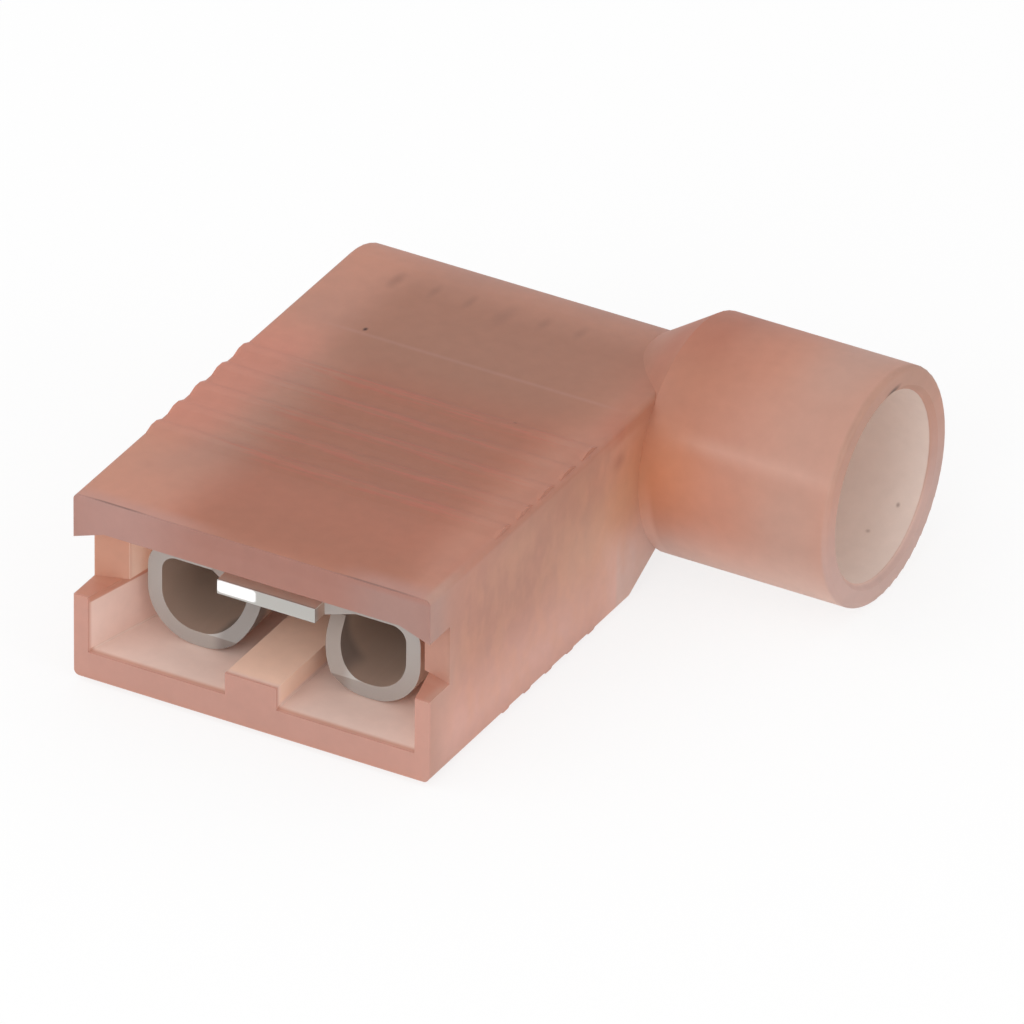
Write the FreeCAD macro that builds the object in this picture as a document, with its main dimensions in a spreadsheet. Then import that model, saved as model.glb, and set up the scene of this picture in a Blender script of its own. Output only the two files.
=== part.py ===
"""Right-angle female spade terminal for the standard 6.35 x 0.8 mm tab, in a one-piece nylon housing.

The housing is a flat box, open at its mouth, with a wire tube that leaves its rear end sideways.
The contact inside is one folded strip: a receptacle with two curls, a joggled neck and a rolled
wire barrel, coaxial with the tube. Lengths are in millimetres. Each piece is drawn with X along
the wire tube, 0 midway across the box, Y from 0 at the mouth to the rear, and Z up from 0 at the
underside of the box. Its placement then puts the origin under the middle of the whole terminal.
"""
import FreeCAD, Part
import os
import re
from collections import namedtuple

import Sketcher

SIZES = {
    # Contact: strip and receptacle
    "strip": 0.4,
    "receptacle_length": 7.0,
    "curl_setback": 1.6,
    "curl_width": 2.9,
    "curl_radius": 1.35,
    "shoulder_radius": 0.8,
    "tab_gap": 0.63,
    "tongue_width": 2.75,
    "tongue_lead": 0.87,
    "shoulder_sweep": 0.4,
    "shoulder_run": 0.65,
    "leg_slant": 0.7,
    "leg_tip": 0.1,
    "dimple_place": 3.6,
    "dimple_width": 1.5,
    "dimple_height": 0.2,
    # Contact: neck and barrel
    "neck_width": 4.6,
    "neck_run": 0.3,
    "joggle_run": 1.3,
    "flange_run": 3.23,
    "barrel_bore": 1.7,
    "seam_angle": 30.0,
    # Clearances between the contact and its cavity
    "side_clearance": 0.06,
    "slide_clearance": 0.02,
    "barrel_clearance": 0.1,
    "end_clearance": 0.3,
    # Housing: box
    "box_width": 10.0,
    "box_height": 5.17,
    "side_wall": 1.1,
    "back_wall": 0.85,
    "floor_wall": 0.74,
    "plate_drop": 0.79,
    "ramp_setback": 1.15,
    "ramp_run": 2.3,
    "ramp_rise": 1.14,
    "floor_ramp_run": 2.1,
    "edge_radius": 0.15,
    # Housing: mouth
    "lip_wall": 0.4,
    "flare_depth": 2.8,
    "notch_depth": 1.0,
    "notch_foot": 2.3,
    "notch_wall": 0.85,
    "notch_slant": 0.26,
    "slab_droop": 0.3,
    "rib_width": 1.45,
    "rib_height": 0.62,
    # Housing: grip ridges
    "top_ridge_height": 0.09,
    "bottom_ridge_height": 0.14,
    "ridge_base": 0.75,
    "ridge_crest": 0.25,
    "ridge_pitch": 1.06,
    "ridge_count": 5,
    "top_ridge_place": 3.73,
    "bottom_ridge_place": 4.04,
    # Housing: wire tube
    "tube_diameter": 6.22,
    "tube_wall": 0.62,
    "tube_reach": 5.25,
    "shoulder_length": 1.4,
    "funnel_length": 2.2,
    "rim_chamfer": 0.14,
}

# Heights and depths that follow from the sizes
HALF_WIDTH = "(box_width / 2)"
CAVITY_HALF = "(box_width / 2 - side_wall)"
CONTACT_HALF = "(box_width / 2 - side_wall - side_clearance)"
RECEPTACLE_END = "(curl_setback + receptacle_length)"
TONGUE_TIP = "(curl_setback - tongue_lead)"
JOGGLE_START = f"({RECEPTACLE_END} + neck_run)"
FLANGE_START = f"({JOGGLE_START} + joggle_run)"
WIRE_DEPTH = f"({FLANGE_START} + flange_run)"
BARREL_INNER = "(barrel_bore / 2)"
BARREL_OUTER = "(barrel_bore / 2 + strip)"
CHAMBER = f"({BARREL_OUTER} + barrel_clearance)"
BACK_RADIUS = f"({CHAMBER} + back_wall)"
WIRE_HEIGHT = f"(box_height - {BACK_RADIUS})"
ROOF = f"({WIRE_HEIGHT} + {BARREL_OUTER} + slide_clearance)"
PLATE_TOP = f"({ROOF} - plate_drop)"
PLATE_UNDER = f"({PLATE_TOP} - strip)"
LEG_END = f"({PLATE_UNDER} - tab_gap)"
CURL_FOOT = "(floor_wall + slide_clearance)"
CURL_BEND = f"min(curl_radius; {LEG_END} - {CURL_FOOT} - leg_tip)"
CURL_CENTRE = f"({CURL_FOOT} + {CURL_BEND})"
TUBE_RADIUS = "(tube_diameter / 2)"
TUBE_END = "(box_width / 2 + tube_reach)"

Corner = namedtuple("Corner", "across up")
Arc = namedtuple("Arc", "across up centre_across centre_up clockwise")

SHEET = "sizes"
ORIGIN_GEOMETRY = -1
START, END, CENTRE = 1, 2, 3
OVERSHOOT = "1"


def make_sheet(document):
    """Puts each driving dimension in a cell of its own, with its name as the alias."""
    sheet = document.addObject("Spreadsheet::Sheet", SHEET)
    for row, (name, value) in enumerate(SIZES.items(), start=1):
        sheet.set(f"A{row}", name)
        sheet.set(f"B{row}", str(value))
        sheet.setAlias(f"B{row}", name)
    document.recompute()
    return sheet


def formula(text):
    """Turns the names of sizes in a formula into references to the sheet."""
    return re.sub(r"[a-z_]+", lambda word: f"{SHEET}.{word[0]}" if word[0] in SIZES else word[0], text)


def value_of(text):
    """The present value of a formula."""
    sheet = FreeCAD.ActiveDocument.getObject(SHEET)
    return float(sheet.evalExpression(formula(text)))


def bind(feature, **formulas):
    """Binds properties of a feature to formulas."""
    for name, text in formulas.items():
        feature.setExpression(name, formula(text))


def origin_feature(body, role):
    """One of the body's own origin planes or axes."""
    return next(item for item in body.Origin.OriginFeatures if item.Role == role)


def point_of(corner):
    return FreeCAD.Vector(value_of(corner.across), value_of(corner.up), 0)


def edge_between(here, there):
    """The edge that ends at a corner, and which of its ends lie at the two corners."""
    if isinstance(there, Corner):
        return Part.LineSegment(point_of(here), point_of(there)), START, END
    centre = FreeCAD.Vector(value_of(there.centre_across), value_of(there.centre_up), 0)
    first, last = (there, here) if there.clockwise else (here, there)
    x_axis = FreeCAD.Vector(1, 0, 0)
    normal = FreeCAD.Vector(0, 0, 1)
    spans = []
    for corner in (first, last):
        reach = point_of(corner) - centre
        spans.append(x_axis.getAngle(reach) * (1 if reach.y >= 0 else -1))
    circle = Part.Circle(centre, normal, (point_of(here) - centre).Length)
    arc = Part.ArcOfCircle(circle, spans[0], spans[1])
    return (arc, END, START) if there.clockwise else (arc, START, END)


def fix(sketch, kind, geometry, place, text):
    """Holds one coordinate of a point at a formula."""
    constraint = Sketcher.Constraint(kind, ORIGIN_GEOMETRY, START, geometry, place, value_of(text))
    index = sketch.addConstraint(constraint)
    sketch.setExpression(f"Constraints[{index}]", formula(text))


def outline(body, name, plane, path, **offsets):
    """Draws a closed outline on an origin plane, moved from it by formulas for x, y or z."""
    sketch = body.newObject("Sketcher::SketchObject", name)
    sketch.AttachmentSupport = [(origin_feature(body, plane), "")]
    sketch.MapMode = "FlatFace"
    for axis, text in offsets.items():
        sketch.setExpression(f"AttachmentOffset.Base.{axis}", formula(text))
    ends = []
    for index, there in enumerate(path):
        edge, near, far = edge_between(path[index - 1], there)
        sketch.addGeometry(edge)
        ends.append((near, far))
    for index, there in enumerate(path):
        following = (index + 1) % len(path)
        far = ends[index][1]
        sketch.addConstraint(Sketcher.Constraint("Coincident", index, far, following, ends[following][0]))
        fix(sketch, "DistanceX", index, far, there.across)
        fix(sketch, "DistanceY", index, far, there.up)
    for index, there in enumerate(path):
        if isinstance(there, Arc):
            chord = point_of(there) - point_of(path[index - 1])
            if abs(chord.x) >= abs(chord.y):
                fix(sketch, "DistanceY", index, CENTRE, there.centre_up)
            else:
                fix(sketch, "DistanceX", index, CENTRE, there.centre_across)
    return sketch


def extrude(kind, body, name, sketch, length, side="One side", backwards=False):
    """Adds a pad or cuts a pocket of a given length."""
    feature = body.newObject(f"PartDesign::{kind}", name)
    feature.Profile = sketch
    feature.SideType = side
    feature.Reversed = backwards
    bind(feature, Length=length)
    settle(body, feature)
    return feature


def turn(kind, body, name, sketch, axis):
    """Adds a revolution or cuts a groove, all the way round one of the sketch's own axes."""
    feature = body.newObject(f"PartDesign::{kind}", name)
    feature.Profile = sketch
    feature.ReferenceAxis = (sketch, [axis])
    feature.Angle = 360
    settle(body, feature)
    return feature


def mirror(body, name, originals):
    """Repeats features on the other side of the middle plane."""
    feature = body.newObject("PartDesign::Mirrored", name)
    feature.Originals = originals
    feature.MirrorPlane = (origin_feature(body, "YZ_Plane"), [""])
    settle(body, feature)
    return feature


def settle(body, feature):
    body.Tip = feature
    body.Document.recompute()


def rounded(body, name, base, wanted):
    """Rounds the edges of a feature that a test picks."""
    names = [f"Edge{number}" for number, edge in enumerate(base.Shape.Edges, start=1) if wanted(edge)]
    feature = body.newObject("PartDesign::Fillet", name)
    feature.Base = (base, names)
    bind(feature, Radius="edge_radius")
    settle(body, feature)
    return feature


def place(body):
    """Stands the lowest point on the ground, with the origin under the middle of the terminal."""
    bind(
        body,
        **{
            "Placement.Base.x": "-tube_reach / 2",
            "Placement.Base.y": f"-({WIRE_DEPTH} + {TUBE_RADIUS}) / 2",
            "Placement.Base.z": f"max(bottom_ridge_height; {TUBE_RADIUS} - {WIRE_HEIGHT})",
        },
    )


def side_edge(edge):
    """True for the long outer edges of the block: along its top, its underside and its ramp."""
    half_width = value_of(HALF_WIDTH)
    middle = edge.BoundBox.Center
    in_side = edge.BoundBox.XLength < 1e-6 and abs(abs(middle.x) - half_width) < 1e-6
    upright = edge.BoundBox.YLength < 1e-6
    buried = edge.BoundBox.YMax > value_of(WIRE_DEPTH) - 1e-6 and middle.z < value_of("box_height") - 1e-6
    return in_side and not upright and not buried


def ridges(body, name, levels, width, first):
    """A row of grip ridges across one face of the box, rooted below its rounded edges."""
    root, height, crest = levels
    foot_lead = "ridge_base / 2"
    crest_lead = "ridge_crest / 2"
    sketch = outline(
        body,
        f"{name}_outline",
        "YZ_Plane",
        [
            Corner(f"{first} - {foot_lead}", root),
            Corner(f"{first} + {foot_lead}", root),
            Corner(f"{first} + {foot_lead}", height),
            Corner(f"{first} + {crest_lead}", crest),
            Corner(f"{first} - {crest_lead}", crest),
            Corner(f"{first} - {foot_lead}", height),
        ],
    )
    ridge = extrude("Pad", body, f"{name}_one", sketch, width, side="Symmetric")
    row = body.newObject("PartDesign::LinearPattern", f"{name}_row")
    row.Originals = [ridge]
    row.Direction = (origin_feature(body, "Y_Axis"), [""])
    bind(row, Length="ridge_pitch * (ridge_count - 1)", Occurrences="ridge_count")
    settle(body, row)


def make_housing(document):
    """The moulded box with its round-backed rear end and wire tube."""
    body = document.addObject("PartDesign::Body", "housing")
    add_outside(body)
    cut_inside(body)
    add_inner_rib(body)
    top_levels = ("box_height - edge_radius", "box_height", "box_height + top_ridge_height")
    bottom_levels = ("edge_radius", "0", "-bottom_ridge_height")
    ridges(body, "top_ridges", top_levels, "box_width - edge_radius", "top_ridge_place")
    ridges(body, "bottom_ridges", bottom_levels, "box_width - 2 * edge_radius", "bottom_ridge_place")
    place(body)
    return body


def add_outside(body):
    ramp_end = f"({WIRE_DEPTH} - ramp_setback)"
    side_view = outline(
        body,
        "block_outline",
        "YZ_Plane",
        [
            Corner("0", "0"),
            Corner(f"{ramp_end} - ramp_run", "0"),
            Corner(ramp_end, "ramp_rise"),
            Corner(WIRE_DEPTH, WIRE_HEIGHT),
            Corner(WIRE_DEPTH, "box_height"),
            Corner("0", "box_height"),
        ],
    )
    block = extrude("Pad", body, "block", side_view, "box_width", side="Symmetric")
    rounded(body, "block_edges", block, side_edge)
    tube_view = outline(
        body,
        "tube_outline",
        "XY_Plane",
        [
            Corner(f"-{HALF_WIDTH}", "0"),
            Corner(f"-{HALF_WIDTH}", f"{BACK_RADIUS} - edge_radius"),
            Arc(
                f"edge_radius - {HALF_WIDTH}",
                BACK_RADIUS,
                f"edge_radius - {HALF_WIDTH}",
                f"{BACK_RADIUS} - edge_radius",
                True,
            ),
            Corner(f"{HALF_WIDTH} - shoulder_length", BACK_RADIUS),
            Corner(HALF_WIDTH, TUBE_RADIUS),
            Corner(f"{TUBE_END} - edge_radius", TUBE_RADIUS),
            Arc(
                TUBE_END,
                f"{TUBE_RADIUS} - edge_radius",
                f"{TUBE_END} - edge_radius",
                f"{TUBE_RADIUS} - edge_radius",
                True,
            ),
            Corner(TUBE_END, "0"),
        ],
        y=WIRE_DEPTH,
        z=WIRE_HEIGHT,
    )
    turn("Revolution", body, "tube", tube_view, "H_Axis")


def cut_inside(body):
    floor_rise = f"({RECEPTACLE_END} + end_clearance)"
    chamber_floor = f"({WIRE_HEIGHT} - {CHAMBER})"
    bore_radius = f"({TUBE_RADIUS} - tube_wall)"
    cavity_view = outline(
        body,
        "cavity_outline",
        "YZ_Plane",
        [
            Corner(f"-{OVERSHOOT}", "floor_wall"),
            Corner(floor_rise, "floor_wall"),
            Corner(f"{floor_rise} + floor_ramp_run", chamber_floor),
            Corner(WIRE_DEPTH, chamber_floor),
            Corner(WIRE_DEPTH, ROOF),
            Corner(f"-{OVERSHOOT}", ROOF),
        ],
    )
    extrude("Pocket", body, "cavity", cavity_view, f"2 * {CAVITY_HALF}", side="Symmetric")
    bore_view = outline(
        body,
        "bore_outline",
        "XY_Plane",
        [
            Corner(f"-{CAVITY_HALF}", "0"),
            Corner(f"-{CAVITY_HALF}", CHAMBER),
            Corner(CAVITY_HALF, CHAMBER),
            Corner(f"{CAVITY_HALF} + funnel_length", bore_radius),
            Corner(f"{TUBE_END} - rim_chamfer", bore_radius),
            Corner(TUBE_END, f"{bore_radius} + rim_chamfer"),
            Corner(f"{TUBE_END} + {OVERSHOOT}", f"{bore_radius} + rim_chamfer"),
            Corner(f"{TUBE_END} + {OVERSHOOT}", "0"),
        ],
        y=WIRE_DEPTH,
        z=WIRE_HEIGHT,
    )
    turn("Groove", body, "bore", bore_view, "H_Axis")
    lip_half = f"({HALF_WIDTH} - lip_wall)"
    flare_view = outline(
        body,
        "flare_outline",
        "XY_Plane",
        [
            Corner(f"-{lip_half}", f"-{OVERSHOOT}"),
            Corner(lip_half, f"-{OVERSHOOT}"),
            Corner(lip_half, "0"),
            Corner(CAVITY_HALF, "flare_depth"),
            Corner(f"-{CAVITY_HALF}", "flare_depth"),
            Corner(f"-{lip_half}", "0"),
        ],
        z="notch_foot",
    )
    extrude("Pocket", body, "flare", flare_view, "notch_foot - floor_wall")
    notch_half = f"({HALF_WIDTH} - notch_wall)"
    notch_end = "(notch_depth + notch_slant)"
    beyond = f"({HALF_WIDTH} + {OVERSHOOT})"
    notch_view = outline(
        body,
        "notch_outline",
        "XY_Plane",
        [
            Corner(f"-{beyond}", f"-{OVERSHOOT}"),
            Corner(beyond, f"-{OVERSHOOT}"),
            Corner(beyond, "notch_depth"),
            Corner(HALF_WIDTH, "notch_depth"),
            Corner(notch_half, notch_end),
            Corner(CAVITY_HALF, "flare_depth"),
            Corner(f"-{CAVITY_HALF}", "flare_depth"),
            Corner(f"-{notch_half}", notch_end),
            Corner(f"-{HALF_WIDTH}", "notch_depth"),
            Corner(f"-{beyond}", "notch_depth"),
        ],
        z=ROOF,
    )
    extrude("Pocket", body, "side_notches", notch_view, f"{ROOF} - notch_foot")
    droop_view = outline(
        body,
        "slab_end_outline",
        "XZ_Plane",
        [
            Corner(notch_half, ROOF),
            Corner(HALF_WIDTH, ROOF),
            Corner(HALF_WIDTH, f"{ROOF} - slab_droop"),
        ],
        z=f"-{notch_end}",
    )
    slab_end = extrude("Pad", body, "slab_end", droop_view, notch_end)
    mirror(body, "slab_ends", [slab_end])


def add_inner_rib(body):
    """The rib on the floor that keeps the two curls apart."""
    rib_view = outline(
        body,
        "rib_outline",
        "XY_Plane",
        [
            Corner("-rib_width / 2", "0"),
            Corner("rib_width / 2", "0"),
            Corner("rib_width / 2", RECEPTACLE_END),
            Corner("-rib_width / 2", RECEPTACLE_END),
        ],
        z="floor_wall",
    )
    extrude("Pad", body, "floor_rib", rib_view, "rib_height")


def make_contact(document):
    """The folded strip: receptacle, joggled neck and wire barrel."""
    body = document.addObject("PartDesign::Body", "contact")
    add_receptacle(body)
    add_dimple(body)
    add_neck(body)
    add_barrel(body)
    place(body)
    return body


def add_receptacle(body):
    leg_face = f"({CONTACT_HALF} - curl_width)"
    outer_turn = f"({CONTACT_HALF} - {CURL_BEND})"
    inner_turn = f"({leg_face} + {CURL_BEND})"
    shoulder = f"({CONTACT_HALF} - shoulder_radius)"
    shoulder_height = f"({PLATE_TOP} - shoulder_radius)"
    inner_foot = f"({CURL_FOOT} + strip)"
    half_section = outline(
        body,
        "curl_outline",
        "XZ_Plane",
        [
            Corner("0", PLATE_TOP),
            Corner(shoulder, PLATE_TOP),
            Arc(CONTACT_HALF, shoulder_height, shoulder, shoulder_height, True),
            Corner(CONTACT_HALF, CURL_CENTRE),
            Arc(outer_turn, CURL_FOOT, outer_turn, CURL_CENTRE, True),
            Corner(inner_turn, CURL_FOOT),
            Arc(leg_face, CURL_CENTRE, inner_turn, CURL_CENTRE, True),
            Corner(leg_face, LEG_END),
            Corner(f"{leg_face} + strip", LEG_END),
            Corner(f"{leg_face} + strip", CURL_CENTRE),
            Arc(inner_turn, inner_foot, inner_turn, CURL_CENTRE, False),
            Corner(outer_turn, inner_foot),
            Arc(f"{CONTACT_HALF} - strip", CURL_CENTRE, outer_turn, CURL_CENTRE, False),
            Corner(f"{CONTACT_HALF} - strip", shoulder_height),
            Arc(shoulder, PLATE_UNDER, shoulder, shoulder_height, False),
            Corner("0", PLATE_UNDER),
        ],
        z=f"-{RECEPTACLE_END}",
    )
    curl = extrude("Pad", body, "curl", half_section, "receptacle_length + tongue_lead")
    tongue_view = outline(
        body,
        "tongue_outline",
        "XY_Plane",
        [
            Corner("tongue_width / 2", f"{TONGUE_TIP} - {OVERSHOOT}"),
            Corner(f"{CONTACT_HALF} + {OVERSHOOT}", f"{TONGUE_TIP} - {OVERSHOOT}"),
            Corner(f"{CONTACT_HALF} + {OVERSHOOT}", "curl_setback"),
            Corner("tongue_width / 2 + shoulder_run", "curl_setback"),
            Corner("tongue_width / 2", "curl_setback - shoulder_sweep"),
        ],
        z=f"{PLATE_TOP} + {OVERSHOOT}",
    )
    trim = extrude("Pocket", body, "tongue_side", tongue_view, f"{PLATE_TOP} + {OVERSHOOT}")
    mirror(body, "receptacle", [curl, trim])
    front_view = outline(
        body,
        "curl_front_outline",
        "YZ_Plane",
        [
            Corner(f"{TONGUE_TIP} - {OVERSHOOT}", "0"),
            Corner("curl_setback", "0"),
            Corner("curl_setback", PLATE_UNDER),
            Corner(f"{TONGUE_TIP} - {OVERSHOOT}", PLATE_UNDER),
        ],
    )
    extrude("Pocket", body, "curl_fronts", front_view, f"2 * ({CONTACT_HALF} + {OVERSHOOT})", side="Symmetric")
    leg_view = outline(
        body,
        "leg_outline",
        "YZ_Plane",
        [
            Corner(f"{TONGUE_TIP} - {OVERSHOOT}", "0"),
            Corner("curl_setback", "0"),
            Corner("curl_setback", inner_foot),
            Corner("curl_setback + leg_slant", LEG_END),
            Corner("curl_setback + leg_slant", f"{LEG_END} + tab_gap / 2"),
            Corner(f"{TONGUE_TIP} - {OVERSHOOT}", f"{LEG_END} + tab_gap / 2"),
        ],
    )
    extrude("Pocket", body, "leg_fronts", leg_view, f"2 * {inner_turn}", side="Symmetric")


def add_dimple(body):
    """The coined dimple in the plate that snaps into the hole of the tab."""
    depth = "(curl_setback + dimple_place)"
    for kind, name, face in (("Revolution", "dimple_bump", PLATE_UNDER), ("Groove", "dimple_dent", PLATE_TOP)):
        sketch = outline(
            body,
            f"{name}_outline",
            "XZ_Plane",
            [
                Corner("0", face),
                Corner("0", f"{face} - dimple_height"),
                Corner("dimple_width / 4", f"{face} - dimple_height"),
                Corner("dimple_width / 2", face),
            ],
            z=f"-{depth}",
        )
        turn(kind, body, name, sketch, "V_Axis")


def add_neck(body):
    """The joggle that lifts the strip from the plate to the top of the barrel."""
    barrel_top = f"({WIRE_HEIGHT} + {BARREL_OUTER})"
    bend_shift = f"strip * tan(atan(({barrel_top} - {PLATE_TOP}) / joggle_run) / 2)"
    neck_view = outline(
        body,
        "neck_outline",
        "YZ_Plane",
        [
            Corner(f"{RECEPTACLE_END} - strip", PLATE_TOP),
            Corner(JOGGLE_START, PLATE_TOP),
            Corner(FLANGE_START, barrel_top),
            Corner(f"{FLANGE_START} + 2 * strip", barrel_top),
            Corner(f"{FLANGE_START} + 2 * strip", f"{barrel_top} - strip"),
            Corner(f"{FLANGE_START} + {bend_shift}", f"{barrel_top} - strip"),
            Corner(f"{JOGGLE_START} + {bend_shift}", PLATE_UNDER),
            Corner(f"{RECEPTACLE_END} - strip", PLATE_UNDER),
        ],
    )
    extrude("Pad", body, "neck", neck_view, "neck_width", side="Symmetric")


def add_barrel(body):
    """The flange and the roll of the wire barrel, which ends at an open seam under the flange."""
    seam_back = "cos(seam_angle)"
    seam_rise = "sin(seam_angle)"
    barrel_view = outline(
        body,
        "barrel_outline",
        "YZ_Plane",
        [
            Corner(FLANGE_START, f"{WIRE_HEIGHT} + {BARREL_INNER}"),
            Corner(FLANGE_START, f"{WIRE_HEIGHT} + {BARREL_OUTER}"),
            Corner(WIRE_DEPTH, f"{WIRE_HEIGHT} + {BARREL_OUTER}"),
            Arc(
                f"{WIRE_DEPTH} - {BARREL_OUTER} * {seam_back}",
                f"{WIRE_HEIGHT} + {BARREL_OUTER} * {seam_rise}",
                WIRE_DEPTH,
                WIRE_HEIGHT,
                True,
            ),
            Corner(
                f"{WIRE_DEPTH} - {BARREL_INNER} * {seam_back}",
                f"{WIRE_HEIGHT} + {BARREL_INNER} * {seam_rise}",
            ),
            Arc(WIRE_DEPTH, f"{WIRE_HEIGHT} + {BARREL_INNER}", WIRE_DEPTH, WIRE_HEIGHT, False),
        ],
    )
    extrude("Pad", body, "barrel", barrel_view, f"2 * {CONTACT_HALF}", side="Symmetric")


def check_document(document):
    """Stops if any feature failed to build."""
    for item in document.Objects:
        if "Invalid" in item.State or "Error" in item.State:
            raise RuntimeError(f"{item.Name} failed: {item.State}")


def export(body):
    """Writes a sound piece to its own file."""
    shape = body.Shape
    if shape.isNull() or not shape.isValid() or len(shape.Solids) != 1:
        raise RuntimeError(f"{body.Label} isn't one sound solid")
    shape.exportStep(f"parts/{body.Label}.step")
    box = shape.BoundBox
    print(f"{body.Label}: {shape.Volume:.3f} mm3, {box.XMin:.2f} {box.XMax:.2f}, ", end="")
    print(f"{box.YMin:.2f} {box.YMax:.2f}, {box.ZMin:.2f} {box.ZMax:.2f}")


def main():
    document = FreeCAD.newDocument("spade_terminal")
    make_sheet(document)
    bodies = [make_housing(document), make_contact(document)]
    document.recompute()
    check_document(document)
    os.makedirs("parts", exist_ok=True)
    for body in bodies:
        export(body)


main()
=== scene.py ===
"""Dresses the spade terminal: translucent pink nylon over a tin-plated contact, on a white floor."""
import math

import bpy
from mathutils import Matrix, Vector


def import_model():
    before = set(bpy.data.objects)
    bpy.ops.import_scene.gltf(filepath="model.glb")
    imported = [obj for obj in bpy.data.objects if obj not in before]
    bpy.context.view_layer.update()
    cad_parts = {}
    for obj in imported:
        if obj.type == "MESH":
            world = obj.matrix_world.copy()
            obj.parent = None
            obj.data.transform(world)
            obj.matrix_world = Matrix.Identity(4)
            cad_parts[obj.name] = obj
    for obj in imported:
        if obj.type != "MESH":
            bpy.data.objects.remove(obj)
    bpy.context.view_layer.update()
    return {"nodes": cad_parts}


MM = 0.001
PER_MM = 1000.0
WHITE = (1.0, 1.0, 1.0)
OPAQUE = 1.0

# The camera, fitted to the edges of the box
CAMERA_AZIMUTH = 29.32
CAMERA_ELEVATION = 31.37
CAMERA_ROLL = 0.57
CAMERA_DISTANCE = 0.5
CAMERA_TARGET = Vector((-0.125, 0.18, 2.64)) * MM
CAMERA_CLIP = (0.01, 5.0)
PIXELS_PER_MM = 40.72
IMAGE_PIXELS = 1024
SENSOR_MM = 36.0

# Lamps: name, azimuth and elevation in degrees, distance and size in metres, power in watts
LAMPS = (
    ("key", -50.0, 55.0, 0.4, 0.3, 0.2),
    ("front", 0.0, 26.0, 0.4, 0.25, 0.52),
    ("side", 85.0, 12.0, 0.4, 0.3, 0.45),
)

# World and floor: light from all round, and the floor's share of glow as seen and as it lights
WORLD_LEVEL = 0.8
FLOOR_COLOUR = (0.92, 0.92, 0.92)
FLOOR_GLOW = 0.8
FLOOR_LIGHT = 0.35
FLOOR_SIZE = 2.0

# Nylon: its gloss, the share of light that comes through, and its ground colour
NYLON_ROUGHNESS = 0.38
THROUGH_SHARE = 0.5
INSIDE_SHARE = 0.12
NYLON_COLOUR = (0.70, 0.385, 0.285)
CLOUD_COLOUR = (0.64, 0.365, 0.28)
CLOUD_SCALE = 0.35
CLOUD_RAMP = (0.35, 0.75)

# Places on the nylon, in millimetres: the mouth, the top's grip ridges, the wire bore
MOUTH = ((-7.25, -8.24, 0.86), (2.0, 1.0, 2.3), (0.1, 0.02, 0.03))
RIDGE_ZONE = ((-7.46, -5.2, 5.28), (2.21, 0.3, 6.0), (0.04, 0.1, 0.01))
RIDGE_SOFTENING = 0.8
UPWARDS = (0.0, 0.0, 1.0)
BORE_AXIS = (0.0, 5.16, 3.11)
ACROSS_BORE = (0.0, 1.0, 1.0)
BORE_EDGE = (2.56, 2.50)
BORE_START = (2.2, 3.2)
BORE_END = (7.49, 7.44)
# The bore's wall is pale with painted light, as though lit through the thin nylon around it
BORE_PAINTED_LIGHT = (0.87, 0.76, 0.69)

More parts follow.
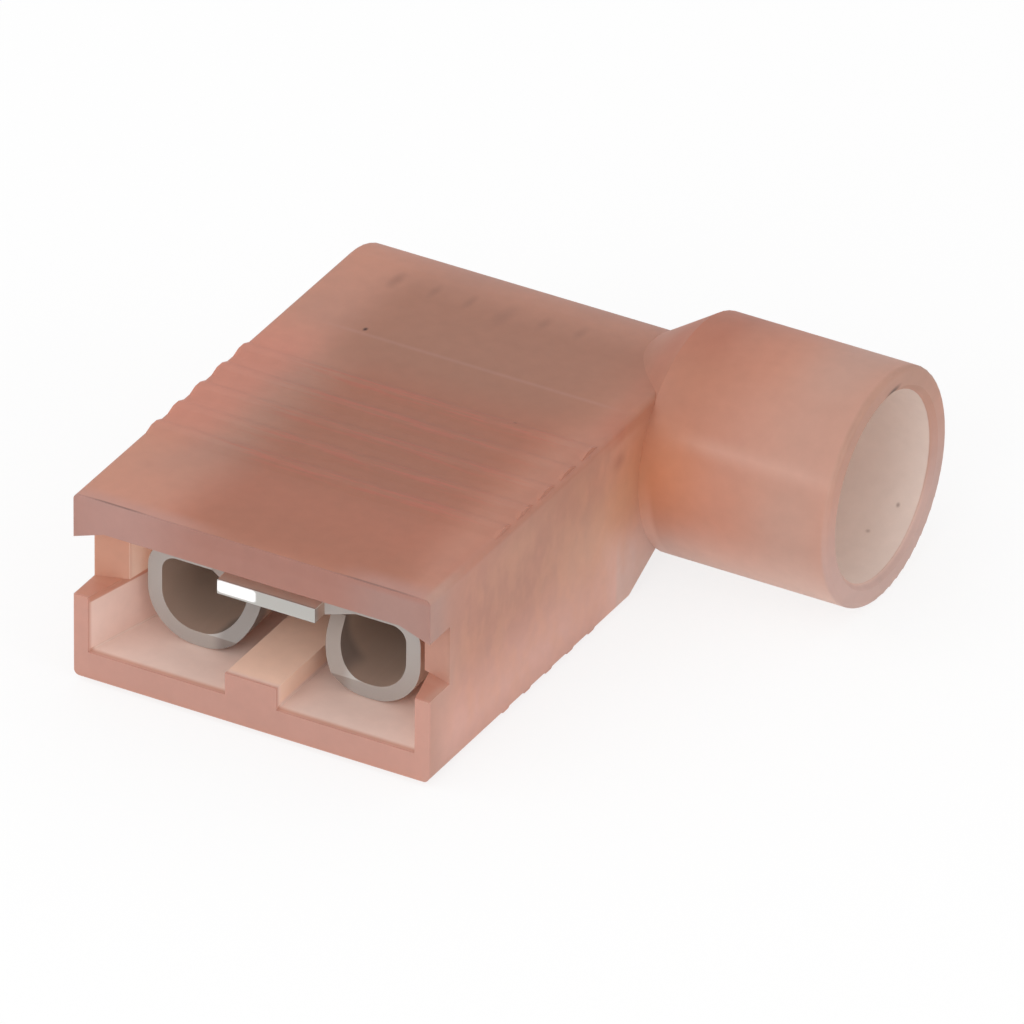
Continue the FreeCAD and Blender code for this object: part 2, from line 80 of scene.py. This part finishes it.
# Zones: tone, strength, lowest and highest corner in millimetres, half the width of the soft edge
NYLON_ZONES = (
    # Over the hidden metal: front, rear, and once more near the mouth
    ((0.58, 0.235, 0.15), 0.85, (-5.0, -8.3, 4.9), (1.55, 1.6, 6.0), (1.1, 0.7, 0.1)),
    ((0.53, 0.275, 0.19), 0.9, (-5.85, 0.5, 4.9), (1.9, 4.9, 6.0), (0.85, 1.0, 0.1)),
    ((0.50, 0.235, 0.155), 0.7, (-4.6, -8.5, 4.9), (1.5, -6.5, 6.0), (0.8, 0.9, 0.1)),
    # Redder along the left edge and the right edge of the top
    ((0.82, 0.355, 0.27), 0.6, (-7.9, -4.6, 4.9), (-5.9, 1.2, 6.0), (0.7, 1.2, 0.1)),
    ((0.62, 0.305, 0.22), 0.8, (1.8, -7.4, 5.15), (2.7, 9.0, 6.0), (0.4, 0.8, 0.1)),
    ((0.60, 0.25, 0.165), 0.7, (1.9, 0.8, 4.9), (3.4, 9.0, 6.5), (0.4, 0.8, 0.1)),
    # Greyish pink at the mouth's edge, towards both corners
    ((0.65, 0.40, 0.345), 0.85, (-8.0, -8.4, 5.2), (-4.2, -7.95, 6.0), (1.2, 0.3, 0.1)),
    ((0.60, 0.37, 0.325), 0.8, (0.2, -8.4, 5.2), (2.6, -7.85, 6.0), (0.8, 0.4, 0.1)),
    # A pale line across the top where the mould's two halves meet
    ((0.66, 0.40, 0.34), 0.28, (-6.3, 1.80, 5.2), (1.8, 1.91, 6.0), (0.8, 0.07, 0.1)),
    # Right wall: front, upper front, lower part lighter with painted light from the floor below, and
    # the rear and the foot of the rear lightened with painted light that lifts the shade beside the
    # tube
    ((0.64, 0.44, 0.365), 0.85, (2.2, -8.5, 0.0), (2.7, -6.9, 6.0), (0.1, 0.9, 0.1)),
    ((0.60, 0.345, 0.27), 0.6, (2.2, -7.8, 3.3), (2.7, -4.8, 5.3), (0.1, 0.9, 0.6)),
    ((0.90, 0.61, 0.53), 0.85, (2.2, -7.6, 0.0), (2.7, 3.6, 1.9), (0.1, 0.8, 1.3)),
    ((0.88, 0.58, 0.42), 0.75, (2.2, -1.6, 1.6), (2.7, 2.4, 3.7), (0.1, 1.8, 1.0)),
    ((1.0, 0.72, 0.62), 0.75, (2.2, 0.4, -0.2), (2.7, 3.0, 3.0), (0.1, 0.8, 0.8)),
    # Left wall: front, and lower part lighter with painted light from the floor below
    ((0.64, 0.44, 0.365), 0.85, (-7.9, -8.5, 0.0), (-7.6, -6.9, 6.0), (0.02, 0.9, 0.1)),
    ((0.90, 0.61, 0.53), 0.85, (-7.9, -7.6, 0.0), (-7.6, 3.6, 1.9), (0.02, 0.8, 1.3)),
    # Underside, over the hidden metal
    ((0.56, 0.28, 0.20), 0.8, (-6.2, -7.0, -0.4), (1.4, 7.5, 0.4), (0.7, 0.8, 0.15)),
    # Tube: pale right end, ruddy top, front darkened with painted shade, underneath pale with painted
    # light from the floor, and a painted highlight streak along it
    ((0.63, 0.44, 0.37), 0.8, (5.6, 1.5, 0.0), (7.7, 9.0, 6.5), (1.0, 0.1, 0.1)),
    ((0.55, 0.25, 0.17), 0.8, (2.0, 2.6, 4.4), (4.4, 9.0, 6.5), (1.6, 0.6, 0.6)),
    ((0.60, 0.345, 0.265), 0.5, (2.0, 1.7, 4.0), (7.4, 4.2, 6.2), (0.5, 0.7, 0.6)),
    ((0.58, 0.27, 0.17), 0.6, (2.0, 1.7, 3.9), (4.2, 4.2, 6.2), (1.0, 0.7, 0.5)),
    ((0.89, 0.70, 0.62), 0.9, (2.3, 1.0, -0.5), (8.0, 9.0, 1.75), (0.1, 0.1, 1.2)),
    ((0.80, 0.56, 0.47), 0.45, (3.4, 2.25, 4.45), (7.5, 2.6, 4.75), (0.8, 0.25, 0.25)),
    # Rim: darker at its top, pinker below
    ((0.54, 0.35, 0.275), 0.85, (7.5, 1.5, 4.6), (7.8, 9.0, 6.6), (0.06, 0.1, 1.2)),
    ((0.63, 0.47, 0.43), 0.85, (7.5, 1.5, -0.5), (7.8, 9.0, 3.2), (0.06, 0.1, 1.4)),
    # Pale mouth, painted light standing in for the light that comes through the nylon: walls, rib,
    # floor
    ((0.90, 0.68, 0.60), 0.95, (-7.3, -8.2, 0.95), (2.05, -1.0, 2.27), (0.1, 0.1, 0.02)),
    ((0.97, 0.70, 0.55), 0.95, (-3.4, -8.1, 1.0), (-1.85, -1.0, 1.6), (0.05, 0.1, 0.05)),
    ((0.92, 0.75, 0.67), 0.97, (-7.2, -8.1, 0.8), (1.95, -1.0, 0.95), (0.05, 0.1, 0.05)),
    # Blocks beside the notches: left, right, and the inner side of the left one lightened with
    # painted light that lifts its shade
    ((0.72, 0.43, 0.32), 0.95, (-7.8, -7.5, 2.4), (-6.55, -5.4, 4.5), (0.05, 0.1, 0.1)),
    ((0.67, 0.42, 0.335), 0.95, (1.3, -7.5, 2.4), (2.3, -5.4, 4.5), (0.05, 0.1, 0.1)),
    ((1.0, 0.88, 0.77), 0.95, (-6.78, -7.3, 2.4), (-6.4, -5.4, 4.5), (0.03, 0.1, 0.1)),
    # Front of the floor and the lips
    ((0.71, 0.435, 0.365), 0.9, (-7.7, -8.4, 0.1), (2.5, -8.2, 2.5), (0.1, 0.04, 0.3)),
    # Slab front, greyer at its left end and its right end
    ((0.49, 0.27, 0.225), 0.9, (-7.7, -8.4, 4.1), (2.5, -8.24, 5.5), (0.1, 0.03, 0.1)),
    ((0.56, 0.37, 0.335), 0.8, (-7.9, -8.4, 4.1), (-4.9, -8.24, 5.5), (1.2, 0.03, 0.1)),
    ((0.49, 0.355, 0.325), 0.85, (0.3, -8.4, 4.0), (2.5, -7.6, 5.2), (0.8, 0.5, 0.1)),
    # Hairline creases at the edge of the mouth
    ((0.24, 0.16, 0.14), 0.7, (-7.0, -8.27, 5.3), (-5.8, -8.21, 6.0), (0.4, 0.02, 0.01)),
    ((0.24, 0.16, 0.14), 0.55, (-0.1, -8.27, 5.3), (1.8, -8.21, 6.0), (0.5, 0.02, 0.01)),
)

# Spots: tone, strength, centre and radii in millimetres
NYLON_SPOTS = (
    # Thick joint between the box and the tube, the wall beside it, and painted shade of the hidden
    # contact under the wall's top edge
    ((0.79, 0.37, 0.21), 0.9, (2.65, 2.0, 3.55), (2.15, 1.9, 2.2)),
    ((0.84, 0.49, 0.31), 0.65, (2.4, 1.2, 3.0), (0.4, 1.8, 1.6)),
    ((0.50, 0.22, 0.16), 0.5, (2.4, 1.06, 4.4), (0.3, 0.5, 0.4)),
    # Marks over the hidden barrel
    ((0.36, 0.20, 0.15), 0.45, (-5.9, 4.5, 5.3), (0.24, 0.6, 0.4)),
    ((0.36, 0.20, 0.15), 0.35, (-4.8, 4.5, 5.3), (0.2, 0.5, 0.4)),
    ((0.36, 0.20, 0.15), 0.35, (-3.8, 4.5, 5.3), (0.2, 0.5, 0.4)),
    ((0.36, 0.20, 0.15), 0.3, (-2.75, 4.3, 5.3), (0.35, 0.9, 0.4)),
    ((0.36, 0.20, 0.15), 0.3, (-1.7, 4.5, 5.3), (0.22, 0.5, 0.4)),
    ((0.36, 0.20, 0.15), 0.3, (-0.7, 4.6, 5.3), (0.22, 0.5, 0.4)),
    # Specks
    ((0.05, 0.02, 0.02), 1.0, (-5.38, 2.06, 5.3), (0.09, 0.13, 0.1)),
    ((0.20, 0.08, 0.06), 0.9, (0.04, 0.0, 5.3), (0.07, 0.07, 0.1)),
)
BORE_SPOTS = (
    # A dark nick on the rim, and two specks inside
    ((0.16, 0.12, 0.10), 0.95, (7.62, 5.42, 5.75), (0.12, 0.5, 0.11)),
    ((0.20, 0.12, 0.10), 0.6, (6.97, 7.01, 1.44), (0.08, 0.1, 0.1)),
    ((0.30, 0.20, 0.16), 0.45, (6.51, 6.32, 0.91), (0.1, 0.08, 0.08)),
)

# Mottling of the right wall and the left wall
MOTTLE_COLOUR = (0.88, 0.53, 0.355)
MOTTLE_STRENGTH = 0.3
MOTTLE_SCALE = 1.3
MOTTLE_DETAIL = 3.5
MOTTLE_STRETCH = (1.0, 1.2, 0.6)
MOTTLE_RAMP = (0.38, 0.66)
MOTTLE_ZONES = (
    ((2.2, -7.0, 0.5), (2.7, 2.0, 4.9), (0.1, 1.0, 0.5)),
    ((-7.9, -7.0, 0.5), (-7.6, 4.0, 4.9), (0.02, 1.0, 0.5)),
)

# Reddish streaks along the crests of the grip ridges: painted shading of the ridges, whose own
# shading the turned normal takes away
STREAK_COLOUR = (0.70, 0.24, 0.17)
STREAK_STRENGTH = 0.65
STREAK_FIRST = -4.5
STREAK_PITCH = 1.06
STREAK_CREST = (-0.9, 0.9)
STREAK_SCALE = 1.0
STREAK_DETAIL = 3.0
STREAK_STRETCH = (0.75, 12.0, 1.0)
STREAK_RAMP = (0.47, 0.6)
STREAK_ZONE = ((-5.4, -5.1, 5.2), (1.2, 0.3, 6.0), (1.4, 0.4, 0.1))

# Fine grain all over the nylon
GRAIN = 0.06
GRAIN_SCALE = 2.6
GRAIN_DETAIL = 4.0

# Tin plate
TIN_EDGE = (0.40, 0.37, 0.345)
# Inside the housing the tin is warmer with a painted reflection of the nylon
TIN_INSIDE = (0.55, 0.42, 0.34)
TIN_FORWARD = (0.3, 0.6)
TIN_METAL = 0.35
TIN_ROUGHNESS = 0.42
TIN_ZONES = (
    # The left and the right inner leg, darkened with painted shade
    ((0.23, 0.205, 0.19), 0.95, (-4.5, -7.0, 0.9), (-3.0, -5.8, 2.9), (0.2, 0.2, 0.1)),
    ((0.29, 0.235, 0.205), 0.9, (-2.4, -7.0, 0.9), (-0.85, -5.8, 2.9), (0.2, 0.2, 0.1)),
    # The tongue: its edge, then its top with a painted reflection of the nylon above it
    ((0.455, 0.45, 0.425), 0.95, (-4.1, -7.7, 3.1), (-1.2, -7.4, 3.65), (0.1, 0.1, 0.02)),
    ((0.74, 0.68, 0.60), 0.9, (-4.1, -7.5, 3.56), (-1.1, -6.8, 3.7), (0.1, 0.05, 0.02)),
)
# A painted highlight on the tongue's edge, where its flat face mirrors the white floor
PAINTED_HIGHLIGHT_ZONE = ((-3.99, -7.7, 3.25), (-2.93, -7.4, 3.57), (0.12, 0.1, 0.07))
PAINTED_HIGHLIGHT_RAMP = (0.2, 0.6)


def by_identifier(sockets):
    """Sockets by their identifiers, for nodes where several have one name."""
    return {socket.identifier: socket for socket in sockets}


class Graph:
    """Builds the nodes of one material or world."""

    def __init__(self, tree):
        self.tree = tree
        self.tree.nodes.clear()
        self.place = None

    def node(self, kind, settings=None, **inputs):
        """Adds a node, sets its properties, and sets or links its inputs."""
        node = self.tree.nodes.new(kind)
        for name, value in (settings or {}).items():
            setattr(node, name, value)
        for name, value in inputs.items():
            self.feed(node.inputs[name.replace("_", " ")], value)
        return node

    def feed(self, socket, value):
        """Links an output to a socket, or sets the socket's value."""
        if isinstance(value, bpy.types.NodeSocket):
            self.tree.links.new(value, socket)
        elif socket.type == "RGBA":
            socket.default_value = (*value, OPAQUE)
        else:
            socket.default_value = value

    def math(self, operation, *values):
        """One sum on numbers."""
        node = self.node("ShaderNodeMath", {"operation": operation})
        for socket, value in zip(node.inputs, values):
            self.feed(socket, value)
        return node.outputs["Value"]

    def vector(self, operation, *values):
        """One sum on vectors; LENGTH gives a number, anything else a vector."""
        node = self.node("ShaderNodeVectorMath", {"operation": operation})
        sockets = by_identifier(node.inputs)
        names = ("Vector", "Scale") if operation == "SCALE" else ("Vector", "Vector_001")
        for name, value in zip(names, values):
            self.feed(sockets[name], value)
        return node.outputs["Value" if operation == "LENGTH" else "Vector"]

    def ramp(self, value, low, high):
        """0 up to low, 1 from high, and smooth between; low may be the larger."""
        node = self.node(
            "ShaderNodeMapRange",
            {"interpolation_type": "SMOOTHSTEP"},
            Value=value,
            From_Min=min(low, high),
            From_Max=max(low, high),
            To_Min=0.0 if low < high else 1.0,
            To_Max=1.0 if low < high else 0.0,
        )
        return node.outputs["Result"]

    def place_mm(self):
        """The point on the piece, in millimetres of the frame."""
        if self.place is None:
            place = self.node("ShaderNodeTexCoord").outputs["Object"]
            self.place = self.vector("SCALE", place, PER_MM)
        return self.place

    def axes(self, vector):
        """The X, Y and Z of a vector."""
        return self.node("ShaderNodeSeparateXYZ", Vector=vector).outputs

    def box(self, low, high, fade, strength=1.0):
        """A strength inside a box of millimetres, falling to 0 over a soft edge on each axis."""
        middle = [(a + b) / 2 for a, b in zip(low, high)]
        half = [(b - a) / 2 for a, b in zip(low, high)]
        away = self.vector("ABSOLUTE", self.vector("SUBTRACT", self.place_mm(), middle))
        node = self.node(
            "ShaderNodeMapRange",
            {"data_type": "FLOAT_VECTOR", "interpolation_type": "SMOOTHSTEP"},
        )
        sockets = by_identifier(node.inputs)
        self.feed(sockets["Vector"], away)
        self.feed(sockets["From_Min_FLOAT3"], [h - f for h, f in zip(half, fade)])
        self.feed(sockets["From_Max_FLOAT3"], [h + f for h, f in zip(half, fade)])
        self.feed(sockets["To_Min_FLOAT3"], (1.0, 1.0, strength))
        self.feed(sockets["To_Max_FLOAT3"], (0.0, 0.0, 0.0))
        x, y, z = self.axes(node.outputs["Vector"])
        return self.math("MULTIPLY", self.math("MULTIPLY", x, y), z)

    def blob(self, centre, radii, strength):
        """A strength at a point of millimetres, falling smoothly to 0 at the radii."""
        away = self.vector("SUBTRACT", self.place_mm(), centre)
        reach = self.vector("LENGTH", self.vector("DIVIDE", away, radii))
        return self.math("MULTIPLY", self.ramp(reach, 1.0, 0.0), strength)

    def noise(self, scale, detail=2.0, stretch=(1.0, 1.0, 1.0)):
        """Fine variation between 0 and 1, with a scale in patches a millimetre."""
        place = self.vector("MULTIPLY", self.place_mm(), stretch)
        node = self.node("ShaderNodeTexNoise", Vector=place, Scale=scale, Detail=detail)
        return node.outputs["Fac"]

    def tint(self, base, colour, share):
        """Blends a colour over another by a share."""
        node = self.node("ShaderNodeMix", {"data_type": "RGBA"})
        sockets = by_identifier(node.inputs)
        self.feed(sockets["Factor_Float"], share)
        self.feed(sockets["A_Color"], base)
        self.feed(sockets["B_Color"], colour)
        return by_identifier(node.outputs)["Result_Color"]

    def tint_zones(self, colour, zones):
        """Blends the tones of a table of zones over a colour, in their order."""
        for tone, strength, low, high, fade in zones:
            colour = self.tint(colour, tone, self.box(low, high, fade, strength))
        return colour

    def tint_spots(self, colour, spots):
        """Blends the tones of a table of spots over a colour, in their order."""
        for tone, strength, centre, radii in spots:
            colour = self.tint(colour, tone, self.blob(centre, radii, strength))
        return colour

    def mix(self, share, first, second):
        """A blend of two shaders, by the share of the second."""
        node = self.node("ShaderNodeMixShader", Fac=share)
        sockets = by_identifier(node.inputs)
        self.feed(sockets["Shader"], first.outputs[0])
        self.feed(sockets["Shader_001"], second.outputs[0])
        return node

    def surface(self, kind, shader):
        """Ends the graph with an output node of a kind, fed by a shader."""
        output = self.node(kind)
        self.feed(output.inputs["Surface"], shader.outputs[0])


def new_material(name):
    """An empty material and the graph that fills it."""
    material = bpy.data.materials.new(name)
    material.use_nodes = True
    return material, Graph(material.node_tree)


def new_object(name, data):
    """An object in the scene that holds a mesh, a lamp or a camera."""
    thing = bpy.data.objects.new(name, data)
    bpy.context.scene.collection.objects.link(thing)
    return thing


def facing(azimuth, elevation):
    """Right, up and back axes of what faces the terminal, with azimuth 0 in front of the mouth."""
    turn = math.radians(azimuth)
    rise = math.radians(elevation)
    right = Vector((math.cos(turn), math.sin(turn), 0.0))
    level_back = Vector((math.sin(turn), -math.cos(turn), 0.0))
    back = level_back * math.cos(rise) + Vector(UPWARDS) * math.sin(rise)
    return right, back.cross(right), back


def placement(right, up, back, place):
    """A placement from its three axes and its origin."""
    columns = (right, up, back, place)
    rows = [[column[row] for column in columns] for row in range(3)]
    rows.append([0.0, 0.0, 0.0, 1.0])
    return Matrix(rows)


def make_camera():
    """Looks at the terminal from the photograph's viewing angle."""
    level_right, level_up, back = facing(CAMERA_AZIMUTH, CAMERA_ELEVATION)
    roll = math.radians(CAMERA_ROLL)
    right = level_right * math.cos(roll) + level_up * math.sin(roll)
    data = bpy.data.cameras.new("camera")
    data.sensor_width = SENSOR_MM
    focal_pixels = PIXELS_PER_MM * CAMERA_DISTANCE / MM
    data.lens = SENSOR_MM * focal_pixels / IMAGE_PIXELS
    data.clip_start, data.clip_end = CAMERA_CLIP
    camera = new_object("camera", data)
    place = CAMERA_TARGET + back * CAMERA_DISTANCE
    camera.matrix_world = placement(right, back.cross(right), back, place)
    bpy.context.scene.camera = camera


def make_lamp(name, azimuth, elevation, distance, size, power):
    """A square soft lamp that faces the terminal."""
    right, up, back = facing(azimuth, elevation)
    data = bpy.data.lights.new(name, "AREA")
    data.size = size
    data.energy = power
    lamp = new_object(name, data)
    lamp.matrix_world = placement(right, up, back, back * distance)


def make_world():
    """An even pale surround that the camera, metal and glass see as white."""
    world = bpy.data.worlds.new("surround")
    world.use_nodes = True
    bpy.context.scene.world = world
    graph = Graph(world.node_tree)
    path = graph.node("ShaderNodeLightPath").outputs
    seen = graph.math("MAXIMUM", path["Is Camera Ray"], path["Is Transmission Ray"])
    seen = graph.math("MAXIMUM", seen, path["Is Glossy Ray"])
    level = graph.node("ShaderNodeMapRange", Value=seen, To_Min=WORLD_LEVEL, To_Max=1.0)
    background = graph.node("ShaderNodeBackground", Color=WHITE, Strength=level.outputs["Result"])
    graph.surface("ShaderNodeOutputWorld", background)


def make_floor():
    """A pale floor that keeps the terminal's soft shadow."""
    mesh = bpy.data.meshes.new("floor")
    half = FLOOR_SIZE / 2
    corners = [(-half, -half, 0.0), (half, -half, 0.0), (half, half, 0.0), (-half, half, 0.0)]
    mesh.from_pydata(corners, [], [range(len(corners))])
    material, graph = new_material("floor")
    diffuse = graph.node("ShaderNodeBsdfDiffuse", Color=FLOOR_COLOUR)
    glow = graph.node("ShaderNodeEmission", Color=WHITE, Strength=1.0)
    path = graph.node("ShaderNodeLightPath").outputs
    seen = graph.math("MAXIMUM", path["Is Camera Ray"], path["Is Glossy Ray"])
    extra = graph.math("MULTIPLY", seen, FLOOR_GLOW - FLOOR_LIGHT)
    share = graph.math("ADD", extra, FLOOR_LIGHT)
    graph.surface("ShaderNodeOutputMaterial", graph.mix(share, diffuse, glow))
    mesh.materials.append(material)
    new_object("floor", mesh)


def nylon():
    """Moulded pink nylon: each part of it is painted with the tone that the light gives it from
    within, with painted light, shade and highlights in its zones.
    """
    material, graph = new_material("nylon")
    cloud = graph.ramp(graph.noise(CLOUD_SCALE), *CLOUD_RAMP)
    colour = graph.tint(NYLON_COLOUR, CLOUD_COLOUR, cloud)
    colour = graph.tint_zones(colour, NYLON_ZONES)
    colour = graph.tint(colour, STREAK_COLOUR, streak_share(graph))
    colour = graph.tint(colour, MOTTLE_COLOUR, mottle_share(graph))
    colour = graph.tint_spots(colour, NYLON_SPOTS)
    in_bore = bore_share(graph)
    # Painted light: the bore's wall made pale, as though lit through the thin tube wall
    colour = graph.tint(colour, BORE_PAINTED_LIGHT, in_bore)
    colour = grained(graph, graph.tint_spots(colour, BORE_SPOTS))
    normal = softened_normal(graph)
    shader = graph.node(
        "ShaderNodeBsdfPrincipled",
        Base_Color=colour,
        Roughness=NYLON_ROUGHNESS,
        Normal=normal,
    )
    through = graph.node("ShaderNodeBsdfTranslucent", Color=colour, Normal=normal)
    inside = graph.math("MAXIMUM", in_bore, graph.box(*MOUTH))
    less = graph.math("MULTIPLY", inside, THROUGH_SHARE - INSIDE_SHARE)
    share = graph.math("SUBTRACT", THROUGH_SHARE, less)
    graph.surface("ShaderNodeOutputMaterial", graph.mix(share, shader, through))
    return material


def streak_share(graph):
    """Fine broken streaks of painted ridge shading, gathered along the crests of the grip ridges."""
    y = graph.axes(graph.place_mm())["Y"]
    turns = graph.math("DIVIDE", graph.math("SUBTRACT", y, STREAK_FIRST), STREAK_PITCH)
    wave = graph.math("COSINE", graph.math("MULTIPLY", turns, math.tau))
    noise = graph.noise(STREAK_SCALE, STREAK_DETAIL, STREAK_STRETCH)
    broken = graph.ramp(noise, *STREAK_RAMP)
    share = graph.math("MULTIPLY", graph.ramp(wave, *STREAK_CREST), broken)
    return graph.math("MULTIPLY", share, graph.box(*STREAK_ZONE, STREAK_STRENGTH))


def mottle_share(graph):
    """Cloudy beige patches on the side walls."""
    noise = graph.noise(MOTTLE_SCALE, MOTTLE_DETAIL, MOTTLE_STRETCH)
    right, left = (graph.box(*zone, MOTTLE_STRENGTH) for zone in MOTTLE_ZONES)
    return graph.math("MULTIPLY", graph.ramp(noise, *MOTTLE_RAMP), graph.math("MAXIMUM", right, left))


def bore_share(graph):
    """1 on the wall of the wire bore, 0 elsewhere."""
    x = graph.axes(graph.place_mm())["X"]
    away = graph.vector("SUBTRACT", graph.place_mm(), BORE_AXIS)
    radius = graph.vector("LENGTH", graph.vector("MULTIPLY", away, ACROSS_BORE))
    along = graph.math("MULTIPLY", graph.ramp(x, *BORE_START), graph.ramp(x, *BORE_END))
    return graph.math("MULTIPLY", graph.ramp(radius, *BORE_EDGE), along)


def grained(graph, colour):
    """Fine soft grain in the brightness of a colour."""
    grain = graph.math("MULTIPLY", graph.noise(GRAIN_SCALE, GRAIN_DETAIL), 2 * GRAIN)
    return graph.vector("SCALE", colour, graph.math("ADD", grain, 1.0 - GRAIN))


def softened_normal(graph):
    """The normal, turned upwards over the top's ridges, whose shading the cloudy nylon evens out."""
    blend = graph.node("ShaderNodeMix", {"data_type": "VECTOR"})
    sockets = by_identifier(blend.inputs)
    graph.feed(sockets["Factor_Float"], graph.box(*RIDGE_ZONE, RIDGE_SOFTENING))
    graph.feed(sockets["A_Vector"], graph.node("ShaderNodeTexCoord").outputs["Normal"])
    graph.feed(sockets["B_Vector"], UPWARDS)
    turned = graph.node(
        "ShaderNodeVectorTransform",
        {"vector_type": "NORMAL", "convert_from": "OBJECT", "convert_to": "WORLD"},
        Vector=by_identifier(blend.outputs)["Result_Vector"],
    )
    return turned.outputs["Vector"]


def tin():
    """Tin plate over stamped brass, warmer inside with a painted reflection of the nylon around it.
    """
    material, graph = new_material("tin_plate")
    normal = graph.node("ShaderNodeTexCoord").outputs["Normal"]
    forward = graph.math("MULTIPLY", graph.axes(normal)["Y"], -1.0)
    colour = graph.tint(TIN_INSIDE, TIN_EDGE, graph.ramp(forward, *TIN_FORWARD))
    colour = graph.tint_zones(colour, TIN_ZONES)
    # Painted highlight: white over the tongue's edge, where it mirrors the floor
    colour = graph.tint(colour, WHITE, graph.ramp(graph.box(*PAINTED_HIGHLIGHT_ZONE), *PAINTED_HIGHLIGHT_RAMP))
    shader = graph.node(
        "ShaderNodeBsdfPrincipled",
        Base_Color=colour,
        Metallic=TIN_METAL,
        Roughness=TIN_ROUGHNESS,
    )
    graph.surface("ShaderNodeOutputMaterial", shader)
    return material


def dress(node, material):
    """Gives a piece its material."""
    node.data.materials.clear()
    node.data.materials.append(material)


def main():
    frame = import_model()
    bpy.context.scene.view_settings.view_transform = "Standard"
    nodes = frame["nodes"]
    dress(nodes["housing"], nylon())
    dress(nodes["contact"], tin())
    make_camera()
    make_world()
    make_floor()
    for lamp in LAMPS:
        make_lamp(*lamp)


main()
